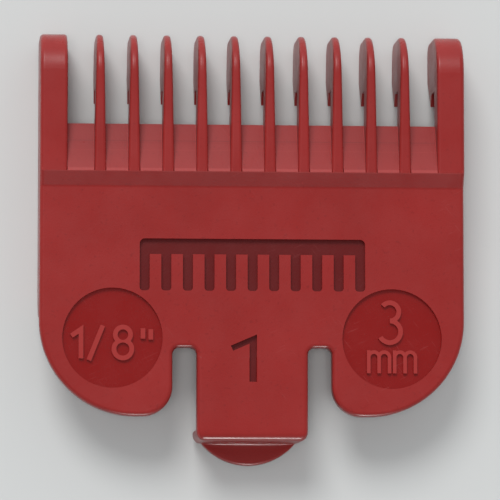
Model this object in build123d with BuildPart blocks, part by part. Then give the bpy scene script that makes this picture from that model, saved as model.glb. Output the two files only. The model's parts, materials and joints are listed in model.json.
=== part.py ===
from build123d import *
import os

# Clipper guard comb, size 1 (3 mm), which clips on to the 46 mm blade of a full-size hair clipper.
#
# It lies on its inner side. X is its width, +Y points to the tips of the teeth and +Z away from the
# blade, so the outer face is up. The origin is under the middle of its bounding box. Millimetres.
#
# The real comb is one nylon moulding. Its features are separate solids here, cut at flush faces,
# and the tongue turns on a round root where the real one bends.

os.makedirs("parts", exist_ok=True)

# Overall size
WIDTH = 49.0
LENGTH = 49.8
HEIGHT = 10.0

# Levels
SEAT_Z = 7.0  # face that lies on the blade
PLATE_Z = 9.0  # outer face of the plate
LATCH_Z = 0.9  # lower end of the latch

# Distances back from the tips of the teeth
GAP_END = 10.6  # where the open gaps between the teeth end
CREST = 16.3  # crest of the root bar
SLOPE_FOOT = 18.0  # foot of the slope from the plate up to the crest
BAR_BACK = 19.0
EMBLEM_AT = 27.0
LOBE_START = 33.4  # end of the straight sides
DISC_AT = 35.45
SLOT_TOP = 36.5
PIVOT_AT = 38.0
FIGURE_TOP = 35.0
FIGURE_END = 40.45
LOBE_END = 44.4
FRONT_WALL = 47.2  # outer face of the latch wall

# Teeth
FIN_COUNT = 10
FIN_PITCH = 3.91
FIN_TIP = 0.8
FIN_ROOT = 1.4
END_TOOTH = 3.15
NOSE_RADIUS = 4.6
TOE_RADIUS = 1.6
TOE_FLAT = 4.2
LIP_BACK = 7.8
LIP_Z = 3.4
NOTCH_FLOOR = 6.4
NOTCH_Z = 4.4
WEB_Z = 7.5  # height of the web where the open gaps begin

# Side walls
WALL = 1.4
WALL_HEEL = 29.0
WALL_SETBACK = 0.3  # of the heel of the wall, under the plate

# Latch
TONGUE_HALF = 6.4
SLOT_WIDTH = 2.8
SLOT_CORNER = 0.8
FRONT_CORNER = 0.9
LATCH_WALL = 1.4
TAB_THICK = 1.4
TAB_RIM = 0.35
KNUCKLE_CLEARANCE = 0.05
BARB_HALF = 4.6
BARB_REACH = 0.9
BARB_FOOT = 0.3  # heights of the barb above the lower end of the latch
BARB_LOW = 1.3
BARB_HIGH = 1.7
BARB_TOP = 2.5

# Lobes and discs
LOBE_RADIUS = 11.0
LOBE_CORNER = 3.4
DISC_X = 16.1
DISC_RADIUS = 5.75
DISC_DEPTH = 0.5

# Marks
MARK_HEIGHT = 0.4
FIGURE_STROKE = 0.55
LETTER_STROKE = 0.42
LETTER_ARCH = 0.6  # radius of the arches of an m
LETTER_PITCH = 3.0
LETTER_SPRING = -2.1  # where the arches of an m spring from its stems
LETTER_FOOT = -3.95
EIGHT_X = 1.2
EIGHT_RINGS = ((0.35, 1.15), (-1.3, 1.3))  # height and outer radius of each ring of the 8
THREE_X = -0.25
THREE_BOWLS = ((3.15, 1.05, -90, 230), (0.85, 1.25, -150, 240))  # height, radius, start and sweep
ENGRAVING = 0.6
FIGURE_RIGHT = 0.5
FIGURE_STEM = 0.85
FLAG_REACH = 3.0
FLAG_DROP = 1.3
FLAG_SLANT = 0.25
FLAG_THICK = 0.6
EMBLEM_WIDTH = 26.0
EMBLEM_HEIGHT = 6.0
EMBLEM_BAR = 1.8
EMBLEM_TOOTH = 1.15
EMBLEM_TEETH = 11

# Edge roundings
RIM = 0.5
FIN_EDGE = 0.35
UNDERSIDE_EDGE = 0.25

TOUCH = 0.01  # closer than this, a point counts as lying on a face

HALF = WIDTH / 2
TIP_Y = LENGTH / 2
PLATE = PLATE_Z - SEAT_Z
PIVOT_Y = TIP_Y - PIVOT_AT
PIVOT_Z = SEAT_Z + PLATE / 2
TONGUE_INNER_Y = TIP_Y - FRONT_WALL + LATCH_WALL
TAB_HALF = TONGUE_HALF - FRONT_CORNER


def back(distance):
    """Y of a point that lies this far back from the tips of the teeth."""
    return TIP_Y - distance


def write(piece, name):
    """Label a finished piece and write its STEP file."""
    piece.part.label = name
    export_step(piece.part, f"parts/{name}.step")


def edges_where(piece, test):
    """The edges of a piece whose middle point passes a test."""
    return ShapeList([edge for edge in piece.edges() if test(edge.position_at(0.5))])


# ---------------------------------------------------------------- profiles shared by several pieces

# Side view of a tooth, with Y across and Z up: the outer edge, the round nose, the toe, the lip
# and the notch that takes the toothed edge of the blade.
with BuildSketch() as tooth_profile:
    with BuildLine():
        Line((back(CREST), HEIGHT), (back(NOSE_RADIUS), HEIGHT))
        RadiusArc((back(NOSE_RADIUS), HEIGHT), (TIP_Y, HEIGHT - NOSE_RADIUS), NOSE_RADIUS)
        Line((TIP_Y, HEIGHT - NOSE_RADIUS), (TIP_Y, TOE_RADIUS))
        RadiusArc((TIP_Y, TOE_RADIUS), (back(TOE_RADIUS), 0), TOE_RADIUS)
        Polyline(
            (back(TOE_RADIUS), 0),
            (back(TOE_FLAT), 0),
            (back(LIP_BACK), LIP_Z),
            (back(NOTCH_FLOOR), NOTCH_Z),
            (back(NOTCH_FLOOR), SEAT_Z),
            (back(CREST), SEAT_Z),
            (back(CREST), HEIGHT),
        )
    make_face()

# Plan of the tongue, from its pivot to its front.
with BuildSketch() as tongue_plan:
    with Locations((0, (PIVOT_Y + back(FRONT_WALL)) / 2)):
        Rectangle(2 * TONGUE_HALF, PIVOT_Y - back(FRONT_WALL))
    front_corners = tongue_plan.vertices().group_by(Axis.Y)[0]
    fillet(front_corners, FRONT_CORNER)

# The figure 1, a stem with a flag, which runs from the plate on to the tongue.
with BuildSketch() as figure_one:
    with BuildLine():
        Polyline(
            (FIGURE_RIGHT, back(FIGURE_TOP)),
            (FIGURE_RIGHT - FLAG_REACH, back(FIGURE_TOP + FLAG_DROP)),
            (FIGURE_RIGHT - FLAG_REACH + FLAG_SLANT, back(FIGURE_TOP + FLAG_DROP + FLAG_THICK)),
            (FIGURE_RIGHT - FIGURE_STEM, back(FIGURE_TOP + FLAG_DROP - FLAG_SLANT)),
            (FIGURE_RIGHT - FIGURE_STEM, back(FIGURE_END)),
            (FIGURE_RIGHT, back(FIGURE_END)),
            close=True,
        )
    make_face()


# ---------------------------------------------------------------- teeth


def fin_plan(centre, tip, root):
    """Plan of a fin that thickens evenly from its tip to its root."""
    with BuildSketch() as plan:
        with BuildLine():
            Polyline(
                (centre - root / 2, back(CREST)),
                (centre - tip / 2, TIP_Y),
                (centre + tip / 2, TIP_Y),
                (centre + root / 2, back(CREST)),
                close=True,
            )
        make_face()
    return plan.sketch


def on_outline(point):
    """True on the outer edge, the nose and the toe of a tooth, where its edges are rounded."""
    on_nose_or_toe = point.Y > back(TOE_FLAT) and (point.Z > LIP_Z or point.Z < TOE_RADIUS + TOUCH)
    return point.Z > HEIGHT - TOUCH or on_nose_or_toe


def make_fin(centre):
    """An inner tooth, a thin fin with a rounded edge all along its outline."""
    with BuildPart() as fin:
        with BuildSketch(Plane.YZ.offset(centre - FIN_ROOT / 2)):
            add(tooth_profile.sketch)
        extrude(amount=FIN_ROOT)
        with BuildSketch():
            add(fin_plan(centre, FIN_TIP, FIN_ROOT))
        extrude(amount=HEIGHT, mode=Mode.INTERSECT)
        fillet(edges_where(fin, lambda p: on_outline(p) and abs(p.X - centre) > FIN_EDGE), FIN_EDGE)
    return fin


def make_end_tooth(side):
    """A wide tooth at one end of the row, flush with the side of the comb."""
    inner = side * (HALF - END_TOOTH)
    outer = side * HALF
    with BuildPart() as tooth:
        with BuildSketch(Plane.YZ.offset(min(inner, outer))):
            add(tooth_profile.sketch)
        extrude(amount=END_TOOTH)
        fillet(edges_where(tooth, lambda p: on_outline(p) and abs(p.X - outer) < TOUCH), RIM)
        fillet(edges_where(tooth, lambda p: on_outline(p) and abs(p.X - inner) < TOUCH), FIN_EDGE)
    return tooth


fin_centres = [(i - (FIN_COUNT - 1) / 2) * FIN_PITCH for i in range(FIN_COUNT)]
teeth = [make_end_tooth(-1)] + [make_fin(x) for x in fin_centres] + [make_end_tooth(1)]
for number, tooth in enumerate(teeth, start=1):
    write(tooth, f"tooth_{number:02d}")


# ---------------------------------------------------------------- root bar

# The bar across the roots of the teeth, with a slope up from the plate to its crest.
with BuildPart() as root_bar:
    with BuildSketch(Plane.YZ.offset(-HALF)):
        with BuildLine():
            Polyline(
                (back(BAR_BACK), SEAT_Z),
                (back(BAR_BACK), PLATE_Z),
                (back(SLOPE_FOOT), PLATE_Z),
                (back(CREST), HEIGHT),
                (back(CREST), SEAT_Z),
                close=True,
            )
        make_face()
    extrude(amount=WIDTH)
    foot = edges_where(root_bar, lambda p: abs(p.Y - back(SLOPE_FOOT)) < TOUCH and p.Z > SEAT_Z + TOUCH)
    fillet(foot, RIM)
    sides = edges_where(root_bar, lambda p: abs(p.X) > HALF - TOUCH and p.Z > PLATE_Z - TOUCH)
    fillet(sides, RIM)
write(root_bar, "root_bar")

# The web between the teeth, which ramps down from the crest to the open gaps: one wedge a gap.
with BuildPart() as tooth_webs:
    with BuildSketch(Plane.YZ.offset(-HALF + END_TOOTH)):
        with BuildLine():
            Polyline(
                (back(CREST), SEAT_Z),
                (back(CREST), HEIGHT),
                (back(GAP_END), WEB_Z),
                (back(GAP_END), SEAT_Z),
                close=True,
            )
        make_face()
    extrude(amount=WIDTH - 2 * END_TOOTH)
    with BuildSketch(Plane.XY.offset(SEAT_Z)):
        for x in fin_centres:
            add(fin_plan(x, FIN_TIP, FIN_ROOT))
    extrude(amount=HEIGHT, mode=Mode.SUBTRACT)
write(tooth_webs, "tooth_webs")


# ---------------------------------------------------------------- plate


def is_heel_rim(point):
    """True round the lobes and slots, where the rim is rounded, but not where the tongue joins."""
    at_tongue = abs(point.Y - PIVOT_Y) < TOUCH and abs(point.X) < TONGUE_HALF - TOUCH
    return point.Y < back(LOBE_START) - TOUCH and not at_tongue


# Plan of the plate: straight sides, two round lobes at the heel and a slot each side of the tongue.
with BuildPart() as comb_plate:
    with BuildSketch(Plane.XY.offset(SEAT_Z)):
        slot_side = TONGUE_HALF + SLOT_WIDTH
        with BuildLine():
            Polyline(
                (0, back(BAR_BACK)),
                (HALF - WALL, back(BAR_BACK)),
                (HALF - WALL, back(LOBE_START)),
                (HALF, back(LOBE_START)),
            )
            RadiusArc((HALF, back(LOBE_START)), (HALF - LOBE_RADIUS, back(LOBE_END)), LOBE_RADIUS)
            Line((HALF - LOBE_RADIUS, back(LOBE_END)), (slot_side + LOBE_CORNER, back(LOBE_END)))
            RadiusArc(
                (slot_side + LOBE_CORNER, back(LOBE_END)),
                (slot_side, back(LOBE_END - LOBE_CORNER)),
                LOBE_CORNER,
            )
            Line((slot_side, back(LOBE_END - LOBE_CORNER)), (slot_side, back(SLOT_TOP + SLOT_CORNER)))
            RadiusArc(
                (slot_side, back(SLOT_TOP + SLOT_CORNER)),
                (slot_side - SLOT_CORNER, back(SLOT_TOP)),
                -SLOT_CORNER,
            )
            Line((slot_side - SLOT_CORNER, back(SLOT_TOP)), (TONGUE_HALF + SLOT_CORNER, back(SLOT_TOP)))
            RadiusArc(
                (TONGUE_HALF + SLOT_CORNER, back(SLOT_TOP)),
                (TONGUE_HALF, back(SLOT_TOP + SLOT_CORNER)),
                -SLOT_CORNER,
            )
            Polyline((TONGUE_HALF, back(SLOT_TOP + SLOT_CORNER)), (TONGUE_HALF, PIVOT_Y), (0, PIVOT_Y))
            mirror(about=Plane.YZ)
        make_face()
    extrude(amount=PLATE)

    fillet(edges_where(comb_plate, lambda p: p.Z > PLATE_Z - TOUCH and is_heel_rim(p)), RIM)
    fillet(edges_where(comb_plate, lambda p: p.Z < SEAT_Z + TOUCH and is_heel_rim(p)), UNDERSIDE_EDGE)
    # Round socket for the root of the tongue.
    with Locations((0, PIVOT_Y, PIVOT_Z)):
        socket_width = 2 * TONGUE_HALF + SLOT_CORNER
        Cylinder(PLATE / 2 + KNUCKLE_CLEARANCE, socket_width, rotation=(0, 90, 0), mode=Mode.SUBTRACT)
    # Recessed discs behind the raised size marks.
    with BuildSketch(Plane.XY.offset(PLATE_Z)):
        with Locations((-DISC_X, back(DISC_AT)), (DISC_X, back(DISC_AT))):
            Circle(DISC_RADIUS)
    extrude(amount=-DISC_DEPTH, mode=Mode.SUBTRACT)
    # Emblem, a small picture of a comb, and the upper part of the figure 1.
    with BuildSketch(Plane.XY.offset(PLATE_Z)):
        with Locations((0, back(EMBLEM_AT - (EMBLEM_HEIGHT - EMBLEM_BAR) / 2))):
            RectangleRounded(EMBLEM_WIDTH, EMBLEM_BAR, EMBLEM_BAR / 3)
        with Locations((0, back(EMBLEM_AT + EMBLEM_BAR / 4))):
            with GridLocations((EMBLEM_WIDTH - EMBLEM_TOOTH) / (EMBLEM_TEETH - 1), 0, EMBLEM_TEETH, 1):
                RectangleRounded(EMBLEM_TOOTH, EMBLEM_HEIGHT - EMBLEM_BAR / 2, EMBLEM_TOOTH / 3)
        add(figure_one.sketch)
    extrude(amount=-ENGRAVING, mode=Mode.SUBTRACT)
write(comb_plate, "comb_plate")


# ---------------------------------------------------------------- side walls


def make_side_wall(side):
    """The wall that holds one side of the blade, beside the plate and behind the end tooth."""
    inner_plane = Plane.YZ.offset(min(side * HALF, side * (HALF - WALL)))
    heel_end = LOBE_START - WALL_SETBACK
    heel_radius = heel_end - WALL_HEEL
    with BuildPart() as wall:
        with BuildSketch(inner_plane):
            with BuildLine():
                Polyline((back(TOE_FLAT), SEAT_Z), (back(TOE_FLAT), 0), (back(WALL_HEEL), 0))
                RadiusArc((back(WALL_HEEL), 0), (back(heel_end), heel_radius), heel_radius)
                Polyline(
                    (back(heel_end), heel_radius),
                    (back(heel_end), SEAT_Z),
                    (back(LOBE_START), SEAT_Z),
                    (back(LOBE_START), PLATE_Z),
                    (back(BAR_BACK), PLATE_Z),
                    (back(BAR_BACK), SEAT_Z),
                    (back(TOE_FLAT), SEAT_Z),
                )
            make_face()
        extrude(amount=WALL)
        with BuildSketch(inner_plane):
            add(tooth_profile.sketch)
        extrude(amount=WALL, mode=Mode.SUBTRACT)
        fillet(edges_where(wall, lambda p: p.Z > PLATE_Z - TOUCH and abs(p.X) > HALF - TOUCH), RIM)
        fillet(edges_where(wall, lambda p: p.Z < TOUCH and abs(p.X) > HALF - TOUCH), RIM)
    return wall


write(make_side_wall(-1), "side_wall_left")
write(make_side_wall(1), "side_wall_right")


# ---------------------------------------------------------------- latch

# The tongue: a springy strip with a round root, the lower part of the figure 1 and a rounded front.
with BuildPart() as latch_tongue:
    with BuildSketch(Plane.XY.offset(SEAT_Z)):
        add(tongue_plan.sketch)
    extrude(amount=PLATE)
    fillet(edges_where(latch_tongue, lambda p: p.Z > PLATE_Z - TOUCH and p.Y < PIVOT_Y - TOUCH), RIM)
    with Locations((0, PIVOT_Y, PIVOT_Z)):
        Cylinder(PLATE / 2, 2 * TONGUE_HALF, rotation=(0, 90, 0))
    with BuildSketch(Plane.XY.offset(PLATE_Z)):
        add(figure_one.sketch)
    extrude(amount=-ENGRAVING, mode=Mode.SUBTRACT)
write(latch_tongue, "latch_tongue")

# The wall that drops behind the heel of the blade.
with BuildPart() as latch_wall:
    with BuildSketch(Plane.XY.offset(LATCH_Z)):
        add(tongue_plan.sketch)
        with Locations((0, TONGUE_INNER_Y + LATCH_WALL)):
            Rectangle(2 * WIDTH, LATCH_WALL * 2, mode=Mode.SUBTRACT)
        with Locations((0, PIVOT_Y)):
            Rectangle(2 * WIDTH, 2 * (PIVOT_Y - TONGUE_INNER_Y), mode=Mode.SUBTRACT)
    extrude(amount=SEAT_Z - LATCH_Z)
write(latch_wall, "latch_wall")

# The barb that snaps under the blade.
with BuildPart() as latch_barb:
    with BuildSketch(Plane.YZ.offset(-BARB_HALF)):
        with BuildLine():
            Polyline(
                (TONGUE_INNER_Y, LATCH_Z + BARB_FOOT),
                (TONGUE_INNER_Y + BARB_REACH, LATCH_Z + BARB_LOW),
                (TONGUE_INNER_Y + BARB_REACH, LATCH_Z + BARB_HIGH),
                (TONGUE_INNER_Y, LATCH_Z + BARB_TOP),
                close=True,
            )
        make_face()
    extrude(amount=2 * BARB_HALF)
write(latch_barb, "latch_barb")

# The tab that a thumb pushes to let the comb go.
with BuildPart() as thumb_tab:
    with BuildSketch(Plane.XY.offset(LATCH_Z)):
        with BuildLine():
            ThreePointArc((-TAB_HALF, back(FRONT_WALL)), (0, back(LENGTH)), (TAB_HALF, back(FRONT_WALL)))
            Line((TAB_HALF, back(FRONT_WALL)), (-TAB_HALF, back(FRONT_WALL)))
        make_face()
    extrude(amount=TAB_THICK)
    fillet(edges_where(thumb_tab, lambda p: p.Y < back(FRONT_WALL + TAB_RIM) and abs(p.X) < TOUCH), TAB_RIM)
write(thumb_tab, "thumb_tab")


# ---------------------------------------------------------------- raised size marks

# One eighth of an inch: 1, a slash, 8 and the two strokes of the inch sign.
with BuildPart() as size_mark_inch:
    with BuildSketch(Plane.XY.offset(PLATE_Z - DISC_DEPTH).move(Location((-DISC_X, back(DISC_AT), 0)))):
        with BuildLine():
            Polyline((-4.7, 0.2), (-3.6, 0.95), (-3.6, -2.4))
            Line((-2.7, -2.6), (-1.1, 1.4))
            Line((3.5, 1.1), (3.5, -0.1))
            Line((4.4, 1.0), (4.4, -0.2))
        trace(line_width=FIGURE_STROKE)
        for ring_y, ring_radius in EIGHT_RINGS:
            with Locations((EIGHT_X, ring_y)):
                Circle(ring_radius)
        for ring_y, ring_radius in EIGHT_RINGS:
            with Locations((EIGHT_X, ring_y)):
                Circle(ring_radius - FIGURE_STROKE, mode=Mode.SUBTRACT)
    extrude(amount=MARK_HEIGHT)
write(size_mark_inch, "size_mark_inch")

# Three millimetres: 3 over mm.
with BuildPart() as size_mark_metric:
    with BuildSketch(Plane.XY.offset(PLATE_Z - DISC_DEPTH).move(Location((DISC_X, back(DISC_AT), 0)))):
        for bowl_y, bowl_radius, start, sweep in THREE_BOWLS:
            with BuildLine():
                CenterArc((THREE_X, bowl_y), bowl_radius, start, sweep)
            trace(line_width=FIGURE_STROKE)
        for letter_x in (-LETTER_PITCH / 2, LETTER_PITCH / 2):
            for arch_x in (letter_x - LETTER_ARCH, letter_x + LETTER_ARCH):
                with BuildLine():
                    CenterArc((arch_x, LETTER_SPRING), LETTER_ARCH, 0, 180)
                trace(line_width=LETTER_STROKE)
            for stem_x in (letter_x, letter_x + 2 * LETTER_ARCH):
                with BuildLine():
                    Line((stem_x, LETTER_SPRING + TOUCH), (stem_x, LETTER_FOOT))
                trace(line_width=LETTER_STROKE)
            with BuildLine():
                first_stem_x = letter_x - 2 * LETTER_ARCH
                stem_top = LETTER_SPRING + LETTER_ARCH + LETTER_STROKE / 2
                Line((first_stem_x, stem_top), (first_stem_x, LETTER_FOOT))
            trace(line_width=LETTER_STROKE)
    extrude(amount=MARK_HEIGHT)
write(size_mark_metric, "size_mark_metric")
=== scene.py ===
"""Looks of the clipper guard comb: a red nylon moulding lying on a pale table, seen from above.

The CAD nodes keep their shape and get the nylon material. The latch, which the CAD model cuts into
four nodes on a hinge, is one piece here, with a round root in the plate's socket. Metres.
"""

import json
import math

import bmesh
import bpy
from mathutils import Matrix, Vector


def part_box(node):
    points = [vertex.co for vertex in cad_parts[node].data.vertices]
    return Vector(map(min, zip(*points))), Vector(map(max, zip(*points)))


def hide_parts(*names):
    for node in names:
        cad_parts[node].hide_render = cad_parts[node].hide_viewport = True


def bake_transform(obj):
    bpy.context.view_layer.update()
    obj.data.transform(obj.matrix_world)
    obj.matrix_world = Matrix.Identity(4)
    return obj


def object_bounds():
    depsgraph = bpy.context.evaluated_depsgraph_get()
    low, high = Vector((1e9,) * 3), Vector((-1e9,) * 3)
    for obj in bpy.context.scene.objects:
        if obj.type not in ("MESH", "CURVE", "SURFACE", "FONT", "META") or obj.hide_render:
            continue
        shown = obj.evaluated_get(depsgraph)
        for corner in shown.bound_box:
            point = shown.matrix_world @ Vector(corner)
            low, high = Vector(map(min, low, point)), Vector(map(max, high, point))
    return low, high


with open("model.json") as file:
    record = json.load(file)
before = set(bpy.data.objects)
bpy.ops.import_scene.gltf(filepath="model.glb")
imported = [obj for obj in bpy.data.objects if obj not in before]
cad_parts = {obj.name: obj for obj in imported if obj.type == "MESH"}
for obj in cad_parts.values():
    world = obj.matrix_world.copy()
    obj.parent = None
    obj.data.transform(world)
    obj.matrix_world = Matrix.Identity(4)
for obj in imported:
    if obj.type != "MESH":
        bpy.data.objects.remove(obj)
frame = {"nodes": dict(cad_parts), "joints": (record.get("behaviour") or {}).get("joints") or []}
cad_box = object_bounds()

# ---------------------------------------------------------------- places and sizes from the frame

low, high = cad_box
centre = (low + high) / 2
plate_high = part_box("comb_plate")[1]
bar_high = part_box("root_bar")[1]
tongue_low, tongue_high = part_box("latch_tongue")
wall_low, wall_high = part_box("latch_wall")
barb_low, barb_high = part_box("latch_barb")
tab_low, tab_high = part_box("thumb_tab")
hinge = Vector(frame["joints"][0]["pos_m"])

MM = 0.001

# Latch
TONGUE_RIM = 0.5 * MM  # rounding of the sides of the tongue, on top
UNDER_RIM = 0.25 * MM  # and underneath
PLAN_CORNER = 0.9 * MM  # rounding of the upright corners at the front
FRONT_EDGE = 0.9 * MM  # rounding of the front edge of the top
TAB_FILLET = 0.5 * MM
TAB_EDGE = 0.5 * MM
TAB_SETTLE = 0.5 * MM  # how far inside its ends the tab reaches its full thickness
FOOT_EDGE = 0.3 * MM
INNER_FILLET = 0.4 * MM
BARB_TIP = 0.2 * MM  # half the height of the flat at the tip of the barb
BARB_TIP_AT = 0.545  # height of the middle of that flat, as a share of the barb's height
BARB_START = 0.01 * MM  # height of the barb's first row above its lower end
BARB_END = 0.2 * MM  # length of the rounding at each end of the barb
BARB_MARGIN = 0.4 * MM  # plain wall above the barb, before the rows spread out
SOCKET_CLEARANCE = 0.05 * MM  # between the tongue's round root and its socket in the CAD model
ROOT_PLAY = 0.001 * MM  # between the round root of this latch and that socket
BEND_STEP = 0.35 * MM  # spacing of the rows where the tongue bends
CORNER_ROWS = (-0.45, -0.25, -0.1, 0, 0.15, 0.3)  # about the start of the upright corners, in mm
BARB_ROWS = (0.2, 0.08, 0.02, 0)  # in from the ends of the barb, in mm
SHARP_FOLD = math.radians(35)  # a fold past this angle is shaded as an edge

# Figure 1: the part of its stem that crosses the tongue
STEM_LEFT = -0.35 * MM
STEM_RIGHT = 0.5 * MM
STEM_END = hinge.y - 2.45 * MM
GROOVE_ROWS = (-0.03, 0, 0.02, 0.035)  # from outside to inside the outline of the stem, in mm
GROOVE_BREAK = 0.03 * MM  # width of the broken edge, each side of the outline
GROOVE_LIP = 0.15  # share of the depth that the broken edge takes up

# Depths of the marks
ENGRAVING = 0.6 * MM
DISC_DEPTH = 0.5 * MM
MARK_HEIGHT = 0.4 * MM
LEVEL_REACH = 0.03 * MM  # how near to its level a floor has to be

# The painted highlight along the crest of the root bar
CREST_MIDDLE = 0.12 * MM  # from the crest towards the teeth
CREST_REACH = 0.22 * MM
SLOPE_FACING = 0.89  # upward part of the normals of its two slopes
SLOPE_REACH = 0.06

# Reds of the nylon
RED = (0.26, 0.0125, 0.0105)
RED_CLOUD = (0.295, 0.016, 0.014)
RED_SPECK = (0.15, 0.006, 0.006)
# painted shade: the floors of the recessed discs are darker
RED_DISC_SHADE = (0.23, 0.0035, 0.0025)
# painted shade: the floors of the engraved marks are darker
RED_ENGRAVED_SHADE = (0.12, 0.002, 0.002)
# lighter tops of the raised characters: rubbing wear with a painted highlight
RED_RAISED_WORN_AND_LIT = (0.36, 0.03, 0.026)
# lighter rims: rubbing wear with a painted highlight
RED_WORN_AND_LIT = (0.36, 0.035, 0.032)
# painted highlight along the crest of the root bar
RED_CREST_HIGHLIGHT = (0.42, 0.05, 0.046)
RED_SCUFF = (0.42, 0.075, 0.07)

# Scales of the patterns in the nylon: about how many patches to a metre
CLOUDS = 110
SPECKS = 2600
WEAR = 420
RUBBING = 260
SCUFFS = 340
SCUFF_PATCHES = 75
SINK = 130
GRAIN = 5200

SCUFF_TURNS = (24, -52)  # directions of the scuffs, in degrees round from +X
SCUFF_BREADTH = 0.045  # breadth of a scuff, as a share of its length
GLOSS = 0.34  # roughness of the bare nylon

# Surroundings
FLOOR_REACH = 1.5
FLOOR_COLOUR = (0.62, 0.63, 0.62)
BACKDROP_COLOUR = (0.65, 0.66, 0.655)
AMBIENT_COLOUR = (0.9, 0.92, 0.95)
AMBIENT_DIM = 0.38  # strength overhead and on the side of the latch
AMBIENT_BRIGHT = 0.9  # strength beyond the teeth
AMBIENT_FADE = (0.1, 0.8)  # Y of the directions between which it goes from dim to bright


# ---------------------------------------------------------------- material


def nylon(name, rest_attribute=None):
    """Moulded nylon: red with pigment specks, a satin grain and light scuffs; painted shade in the
    engraved and recessed marks, painted highlights on the raised marks, the rounded edges and the crest
    of the root bar, with some rubbing wear on the raised marks and edges.
    """
    material = bpy.data.materials.new(name)
    material.use_nodes = True
    nodes = material.node_tree.nodes
    link = material.node_tree.links.new
    nodes.clear()
    out = nodes.new("ShaderNodeOutputMaterial")
    shader = nodes.new("ShaderNodeBsdfPrincipled")
    link(shader.outputs["BSDF"], out.inputs["Surface"])
    shader.inputs["IOR"].default_value = 1.53
    shader.inputs["Specular IOR Level"].default_value = 0.36

    if rest_attribute:
        place = nodes.new("ShaderNodeAttribute")
        place.attribute_name = rest_attribute
        where = place.outputs["Vector"]
    else:
        where = nodes.new("ShaderNodeTexCoord").outputs["Object"]

    def noise(scale, detail, roughness=0.5, vector=where):
        texture = nodes.new("ShaderNodeTexNoise")
        texture.inputs["Scale"].default_value = scale
        texture.inputs["Detail"].default_value = detail
        texture.inputs["Roughness"].default_value = roughness
        link(vector, texture.inputs["Vector"])
        return texture.outputs["Fac"]

    def span(source, low_in, high_in, low_out, high_out):
        node = nodes.new("ShaderNodeMapRange")
        for socket, value in zip(node.inputs[1:5], (low_in, high_in, low_out, high_out)):
            socket.default_value = value
        link(source, node.inputs["Value"])
        return node.outputs["Result"]

    def near(source, value, reach):
        node = nodes.new("ShaderNodeMath")
        node.operation = "COMPARE"
        link(source, node.inputs[0])
        node.inputs[1].default_value = value
        node.inputs[2].default_value = reach
        return node.outputs["Value"]

    def combine(operation, first, second):
        node = nodes.new("ShaderNodeMath")
        node.operation = operation
        link(first, node.inputs[0])
        link(second, node.inputs[1])
        return node.outputs["Value"]

    def mix(factor, first, second):
        node = nodes.new("ShaderNodeMix")
        node.data_type = "RGBA"
        link(factor, node.inputs["Factor"])
        for socket, value in ((node.inputs["A"], first), (node.inputs["B"], second)):
            if isinstance(value, tuple):
                socket.default_value = (*value, 1)
            else:
                link(value, socket)
        return node.outputs["Result"]

    def bump(height, strength, distance):
        node = nodes.new("ShaderNodeBump")
        node.inputs["Strength"].default_value = strength
        node.inputs["Distance"].default_value = distance
        link(height, node.inputs["Height"])
        return node

    # Levels of the marks: floors that face up, by their depth under the face of the plate
    position = nodes.new("ShaderNodeSeparateXYZ")
    link(where, position.inputs["Vector"])
    facing = nodes.new("ShaderNodeSeparateXYZ")
    link(nodes.new("ShaderNodeNewGeometry").outputs["Normal"], facing.inputs["Vector"])
    upward = facing.outputs["Z"]
    faces_up = span(upward, 0.9, 0.95, 0, 1)

    def level(depth):
        at_level = near(position.outputs["Z"], plate_high.z - depth, LEVEL_REACH)
        return combine("MULTIPLY", at_level, faces_up)

    engraved = level(ENGRAVING)
    disc = level(DISC_DEPTH)
    raised = level(DISC_DEPTH - MARK_HEIGHT)

    # Rims: the rounded edges that face partly up, which fingers and combing polish; their lighter colour
    # is rubbing wear with a painted highlight
    rim = combine("MULTIPLY", span(upward, 0.1, 0.4, 0, 1), span(upward, 0.85, 0.7, 0, 1))
    rim_wear_and_sheen = combine("MULTIPLY", rim, span(noise(WEAR, 5, 0.7), 0.35, 0.6, 0, 1))

    # Crest: a painted highlight along the ridge across the roots of the teeth, on both its slopes
    crest_highlight = combine("MULTIPLY", near(position.outputs["Y"], bar_high.y + CREST_MIDDLE, CREST_REACH),
                    near(upward, SLOPE_FACING, SLOPE_REACH))

    # Scuffs: short hairlines in two directions, in a few patches where the comb has slid about
    hairlines = []
    for turn in SCUFF_TURNS:
        along = nodes.new("ShaderNodeMapping")
        along.vector_type = "TEXTURE"
        along.inputs["Rotation"].default_value = (0, 0, math.radians(turn))
        along.inputs["Scale"].default_value = (1, SCUFF_BREADTH, 1)
        link(where, along.inputs["Vector"])
        lines = noise(SCUFFS, 1, vector=along.outputs["Vector"])
        hairlines.append(span(lines, 0.70, 0.76, 0, 1))
    patches = span(noise(SCUFF_PATCHES, 2), 0.48, 0.65, 0, 1)
    scuffs = combine("MULTIPLY", combine("MAXIMUM", *hairlines), patches)

    # Colour: a faint cloudiness from the melt and pigment specks, then painted shade in the engraved and
    # recessed marks, painted highlights on the raised marks, the rims and the crest, and the scuffs
    red = mix(span(noise(CLOUDS, 3), 0.3, 0.7, 0, 1), RED, RED_CLOUD)
    red = mix(span(noise(SPECKS, 2), 0.62, 0.75, 0, 0.35), red, RED_SPECK)
    # painted shade on the floors of the recessed discs
    red = mix(disc, red, RED_DISC_SHADE)
    # painted shade on the floors of the engraved marks
    red = mix(engraved, red, RED_ENGRAVED_SHADE)
    # lighter tops of the raised characters: rubbing wear with a painted highlight
    red = mix(span(raised, 0, 1, 0, 0.7), red, RED_RAISED_WORN_AND_LIT)
    # lighter rims: rubbing wear with a painted highlight
    red = mix(span(rim_wear_and_sheen, 0, 1, 0, 0.5), red, RED_WORN_AND_LIT)
    # painted highlight along the crest of the root bar
    red = mix(span(crest_highlight, 0, 1, 0, 0.4), red, RED_CREST_HIGHLIGHT)
    red = mix(span(scuffs, 0, 1, 0, 0.22), red, RED_SCUFF)
    link(red, shader.inputs["Base Color"])

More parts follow.
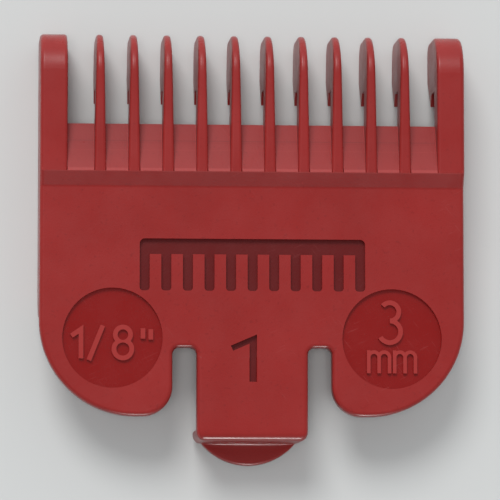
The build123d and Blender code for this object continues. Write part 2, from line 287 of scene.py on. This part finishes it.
    # Roughness: satin, smoother in the discs, on worn rims and in rubbed patches, rough in scuffs
    rough = span(noise(RUBBING, 6, 0.65), 0.3, 0.7, GLOSS - 0.06, GLOSS + 0.08)
    rough = combine("SUBTRACT", rough, span(combine("MAXIMUM", disc, rim_wear_and_sheen), 0, 1, 0, 0.1))
    link(combine("ADD", rough, span(scuffs, 0, 1, 0, 0.14)), shader.inputs["Roughness"])

    # Bump: the fine grain of the mould over slight sink
    sink = bump(noise(SINK, 2, 0.4), 0.2, 0.2 * MM)
    grain = bump(noise(GRAIN, 3, 0.6), 0.4, 0.03 * MM)
    link(sink.outputs["Normal"], grain.inputs["Normal"])
    link(grain.outputs["Normal"], shader.inputs["Normal"])
    return material


# ---------------------------------------------------------------- latch


def stretch(count, start, stop):
    """Evenly spaced values from start to stop, without stop."""
    return [start + (stop - start) * i / count for i in range(count)]


class Point:
    """A point of the latch's profile: its place in the side view and how it changes across the width."""

    def __init__(self, y, z, up=0.0, inward=0.0, barb=0.0):
        self.y = y
        self.z = z
        self.up = up  # 1 on upper faces, -1 on lower faces
        self.inward = inward  # 1 on faces towards the blade
        self.barb = barb  # how far the barb carries it towards the blade
        self.flat = None  # on the tab, the point that it becomes beside the tab


def arc(y, z, radius, start, stop, count, hollow=False):
    """Points on an arc about (y, z), with stop left out, each with the direction that it faces."""
    face = -1 if hollow else 1
    points = []
    for angle in stretch(count, math.radians(start), math.radians(stop)):
        c, s = math.cos(angle), math.sin(angle)
        points.append(Point(y + radius * c, z + radius * s, up=face * s, inward=max(face * c, 0.0)))
    return points


def tab_profile():
    """The part of the profile that goes round the tab."""
    front, foot, tab_top = tongue_low.y, wall_low.z, tab_high.z
    points = arc(front - TAB_FILLET, tab_top + TAB_FILLET, TAB_FILLET, 0, -90, 5, hollow=True)
    points += [Point(y, tab_top, up=1.0) for y in stretch(3, front - TAB_FILLET, tab_low.y + TAB_EDGE)]
    points += arc(tab_low.y + TAB_EDGE, tab_top - TAB_EDGE, TAB_EDGE, 90, 180, 5)
    points += arc(tab_low.y + TAB_EDGE, foot + TAB_EDGE, TAB_EDGE, 180, 270, 5)
    points += [Point(y, foot, up=-1.0) for y in stretch(3, tab_low.y + TAB_EDGE, front + FOOT_EDGE)]
    # Beside the tab the same points make the plain front wall and its foot
    flats = [Point(front, z) for z in stretch(len(points) - 5, tab_top + TAB_FILLET, foot + FOOT_EDGE)]
    flats += arc(front + FOOT_EDGE, foot + FOOT_EDGE, FOOT_EDGE, 180, 270, 5)
    for point, flat in zip(points, flats):
        point.flat = flat
    return points


def barb_profile():
    """The part of the profile that goes up over the barb."""
    inner = wall_high.y
    reach = barb_high.y - barb_low.y
    tip = barb_low.z + (barb_high.z - barb_low.z) * BARB_TIP_AT
    points = []
    for z in stretch(4, barb_low.z + BARB_START, tip - BARB_TIP):
        share = (z - barb_low.z) / (tip - BARB_TIP - barb_low.z)
        points.append(Point(inner, z, inward=1.0, barb=reach * share))
    points += [Point(inner, tip + d, inward=1.0, barb=reach) for d in (-BARB_TIP, 0, BARB_TIP)]
    for z in stretch(4, barb_high.z, tip + BARB_TIP)[::-1]:
        share = (barb_high.z - z) / (barb_high.z - tip - BARB_TIP)
        points.append(Point(inner, z, inward=1.0, barb=reach * share))
    return points


def latch_profile():
    """The latch from the side, from its root along the top, down the front, round the tab and back."""
    top, front, foot, inner = tongue_high.z, tongue_low.y, wall_low.z, wall_high.y
    root = (tongue_high.z - tongue_low.z) / 2
    socket = root + SOCKET_CLEARANCE - ROOT_PLAY
    half_angle = math.degrees(math.asin(root / socket))
    seam = hinge.y + math.sqrt(socket**2 - root**2)

    # Top, with close rows where it bends and round the end of the figure
    edge_rows = [STEM_END + d * MM for d in (0.06, *reversed(GROOVE_ROWS))]
    rows = [seam] + stretch(8, seam - BEND_STEP, edge_rows[0]) + edge_rows
    rows += stretch(9, rows[-1] - BEND_STEP, front + FRONT_EDGE)
    points = [Point(y, top, up=1.0) for y in rows]
    # Front, with the tab
    points += arc(front + FRONT_EDGE, top - FRONT_EDGE, FRONT_EDGE, 90, 180, 7)
    points += [Point(front, z) for z in stretch(8, top - FRONT_EDGE, tab_high.z + TAB_FILLET)]
    points += tab_profile()
    # Foot, inner face with the barb, and the corner under the tongue
    points += [Point(y, foot, up=-1.0) for y in stretch(3, front + FOOT_EDGE, inner - FOOT_EDGE)]
    points += arc(inner - FOOT_EDGE, foot + FOOT_EDGE, FOOT_EDGE, -90, 0, 4)
    points += barb_profile()
    under = tongue_low.z
    inner_rows = stretch(4, barb_high.z + BARB_MARGIN, under - INNER_FILLET)
    points += [Point(inner, z, inward=1.0) for z in inner_rows]
    points += arc(inner + INNER_FILLET, under - INNER_FILLET, INNER_FILLET, 180, 90, 5, hollow=True)
    points += [Point(y, under, up=-1.0) for y in stretch(22, inner + INNER_FILLET, seam)]
    # Round root, with a row where the floor of the figure leaves it
    floor_angle = math.degrees(math.asin((top - ENGRAVING - hinge.z) / socket))
    points += arc(hinge.y, hinge.z, socket, -half_angle, floor_angle, 12)
    points += arc(hinge.y, hinge.z, socket, floor_angle, half_angle, 14)
    return points


def latch_stations():
    """Where across the width the profile is repeated: close together where its shape changes."""
    half = tongue_high.x
    stations = {0.0}
    for side in (-1, 1):
        stations.update(side * x for x in stretch(14, 0, half - PLAN_CORNER))
        stations.update(side * (half - PLAN_CORNER + d * MM) for d in CORNER_ROWS)
        stations.update(side * (half - TONGUE_RIM + TONGUE_RIM * math.sin(math.radians(a)))
                        for a in range(0, 91, 15))
        stations.update(side * (barb_high.x - d * MM) for d in BARB_ROWS)
    for edge, side in ((STEM_LEFT, 1), (STEM_RIGHT, -1)):
        stations.update(edge + side * d * MM for d in GROOVE_ROWS)
    return sorted(stations)


def rounding(beyond, radius):
    """How far a rounded edge has fallen away at this distance past its start."""
    beyond = min(max(beyond, 0.0), radius)
    return radius - math.sqrt(radius**2 - beyond**2)


def ease(share):
    """A smooth step from 0 to 1."""
    share = min(max(share, 0.0), 1.0)
    return share * share * (3 - 2 * share)


def groove_share(distance):
    """Share of the engraving's depth at this distance inside its outline, with its edge just broken."""
    if distance < GROOVE_BREAK:
        return GROOVE_LIP * ease((distance + GROOVE_BREAK) / (2 * GROOVE_BREAK))
    return 1.0


def latch_point(point, x):
    """Where a point of the profile lies at this place across the width."""
    half = tongue_high.x
    front, inner = tongue_low.y, wall_high.y
    past = abs(x)
    y, z, up = point.y, point.z, point.up
    # Tab: its reach follows a circle through its ends and its middle
    if point.flat:
        tab_half, reach = tab_high.x, tab_high.y - tab_low.y
        circle = (tab_half**2 + reach**2) / (2 * reach)
        share = max(math.sqrt(max(circle**2 - x**2, 0.0)) - circle + reach, 0.0) / reach
        y = point.flat.y + (y - point.flat.y) * share
        settle = ease((tab_half - past) / TAB_SETTLE)
        z = point.flat.z + (z - point.flat.z) * settle
        up = point.flat.up + (up - point.flat.up) * settle
    # Barb, rounded at its ends
    into_end = max(past - barb_high.x + BARB_END, 0.0) / BARB_END
    y += point.barb * math.sqrt(max(1 - into_end, 0.0))
    # Rounded sides. The round root keeps to its socket and is only cut down to them.
    top_fall = rounding(past - half + TONGUE_RIM, TONGUE_RIM)
    under_fall = rounding(past - half + UNDER_RIM, UNDER_RIM)
    if point.y > hinge.y:
        z = min(max(z, tongue_low.z + under_fall), tongue_high.z - top_fall)
    else:
        z -= max(up, 0.0) * top_fall + min(up, 0.0) * under_fall
        y -= point.inward * under_fall
    # Upright corners at the front
    depth = min(max((inner - point.y) / (inner - front), 0.0), 1.0)
    y += depth * rounding(past - half + PLAN_CORNER, PLAN_CORNER)
    # Engraved stem of the figure 1
    inside = min(x - STEM_LEFT, STEM_RIGHT - x, point.y - STEM_END)
    z = min(z, tongue_high.z - ENGRAVING * groove_share(inside))
    return Vector((x, y, z))


def make_latch(paint):
    """The springy tongue with its wall, barb and thumb tab: one bent strip of nylon."""
    profile = latch_profile()
    shape = bmesh.new()
    rings = [[shape.verts.new(latch_point(p, x)) for p in profile] for x in latch_stations()]
    for ring, following in zip(rings, rings[1:]):
        for i in range(len(profile)):
            shape.faces.new((ring[i - 1], ring[i], following[i], following[i - 1]))
    shape.faces.new(rings[0][::-1])
    shape.faces.new(rings[-1])
    bmesh.ops.recalc_face_normals(shape, faces=shape.faces)
    seam = {ring[0] for ring in rings}
    for face in shape.faces:
        face.smooth = True
    for edge in shape.edges:
        folded = edge.calc_face_angle(0) > SHARP_FOLD
        edge.smooth = not folded and not seam.issuperset(edge.verts)
    mesh = bpy.data.meshes.new("latch_moulding")
    shape.to_mesh(mesh)
    shape.free()
    # The pattern of the material stays with the nylon when the tongue bends
    rest = mesh.attributes.new("rest_place", "FLOAT_VECTOR", "POINT")
    for value, vertex in zip(rest.data, mesh.vertices):
        value.vector = vertex.co
    mesh.materials.append(paint)
    latch = bpy.data.objects.new("latch_moulding", mesh)
    bpy.context.scene.collection.objects.link(latch)
    even = latch.modifiers.new("even_normals", "WEIGHTED_NORMAL")
    even.keep_sharp = True
    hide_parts("latch_tongue", "latch_wall", "latch_barb", "thumb_tab")
    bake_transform(latch)


# ---------------------------------------------------------------- floor, light and camera


def make_floor():
    """A plain pale table top."""
    mesh = bpy.data.meshes.new("floor")
    shape = bmesh.new()
    bmesh.ops.create_grid(shape, x_segments=1, y_segments=1, size=FLOOR_REACH)
    shape.to_mesh(mesh)
    shape.free()
    floor = bpy.data.objects.new("floor", mesh)
    bpy.context.scene.collection.objects.link(floor)
    paint = bpy.data.materials.new("pale_floor")
    paint.use_nodes = True
    shader = paint.node_tree.nodes["Principled BSDF"]
    shader.inputs["Base Color"].default_value = (*FLOOR_COLOUR, 1)
    shader.inputs["Roughness"].default_value = 0.9
    shader.inputs["Specular IOR Level"].default_value = 0.0
    mesh.materials.append(paint)


def make_light(name, place, spread, strength):
    """A soft lamp, as far off as a studio window, that shines from this direction."""
    lamp = bpy.data.lights.new(name, "SUN")
    lamp.angle = math.radians(spread)
    lamp.energy = strength
    holder = bpy.data.objects.new(name, lamp)
    holder.location = place
    holder.rotation_euler = Vector(place).to_track_quat("Z", "Y").to_euler()
    bpy.context.scene.collection.objects.link(holder)
    return holder


def make_world():
    """Light from all round, most of it from beyond the teeth, and behind all the colour of the floor."""
    world = bpy.data.worlds.new("studio")
    world.use_nodes = True
    nodes = world.node_tree.nodes
    link = world.node_tree.links.new
    ambient = nodes["Background"]
    ambient.inputs["Color"].default_value = (*AMBIENT_COLOUR, 1)
    direction = nodes.new("ShaderNodeSeparateXYZ")
    link(nodes.new("ShaderNodeTexCoord").outputs["Generated"], direction.inputs["Vector"])
    strength = nodes.new("ShaderNodeMapRange")
    for socket, value in zip(strength.inputs[1:5], (*AMBIENT_FADE, AMBIENT_DIM, AMBIENT_BRIGHT)):
        socket.default_value = value
    link(direction.outputs["Y"], strength.inputs["Value"])
    link(strength.outputs["Result"], ambient.inputs["Strength"])
    backdrop = nodes.new("ShaderNodeBackground")
    backdrop.inputs["Color"].default_value = (*BACKDROP_COLOUR, 1)
    seen = nodes.new("ShaderNodeLightPath")
    choose = nodes.new("ShaderNodeMixShader")
    link(seen.outputs["Is Camera Ray"], choose.inputs["Fac"])
    link(ambient.outputs["Background"], choose.inputs[1])
    link(backdrop.outputs["Background"], choose.inputs[2])
    link(choose.outputs["Shader"], nodes["World Output"].inputs["Surface"])
    bpy.context.scene.world = world
    bpy.context.scene.view_settings.view_transform = "Standard"


def make_camera():
    """The camera looks down on the outer face, a little from the heel and from the left."""
    distance = 0.48
    frame_width = 0.058
    from_left = math.radians(4.4)
    from_heel = math.radians(5.3)
    data = bpy.data.cameras.new("camera")
    data.lens = data.sensor_width * distance / frame_width
    data.clip_start = 0.01
    camera = bpy.data.objects.new("camera", data)
    direction = Vector((-math.tan(from_left), -math.tan(from_heel), 1)).normalized()
    camera.location = centre + direction * distance
    right = Vector((0, 1, 0)).cross(direction).normalized()
    up = direction.cross(right)
    camera.rotation_euler = Matrix((right, up, direction)).transposed().to_euler()
    bpy.context.scene.collection.objects.link(camera)
    bpy.context.scene.camera = camera


red_nylon = nylon("red_nylon")
for node in frame["nodes"].values():
    node.data.materials.clear()
    node.data.materials.append(red_nylon)
make_latch(nylon("red_nylon_latch", rest_attribute="rest_place"))

make_floor()
make_light("key", (-0.13, 0.37, 0.485), 24, 1.5)
make_light("fill", (-0.05, -0.06, 0.6), 15, 0.75).visible_glossy = False
make_light("front", (0.045, -0.55, 0.06), 12, 1.4).visible_diffuse = False
make_camera()
make_world()
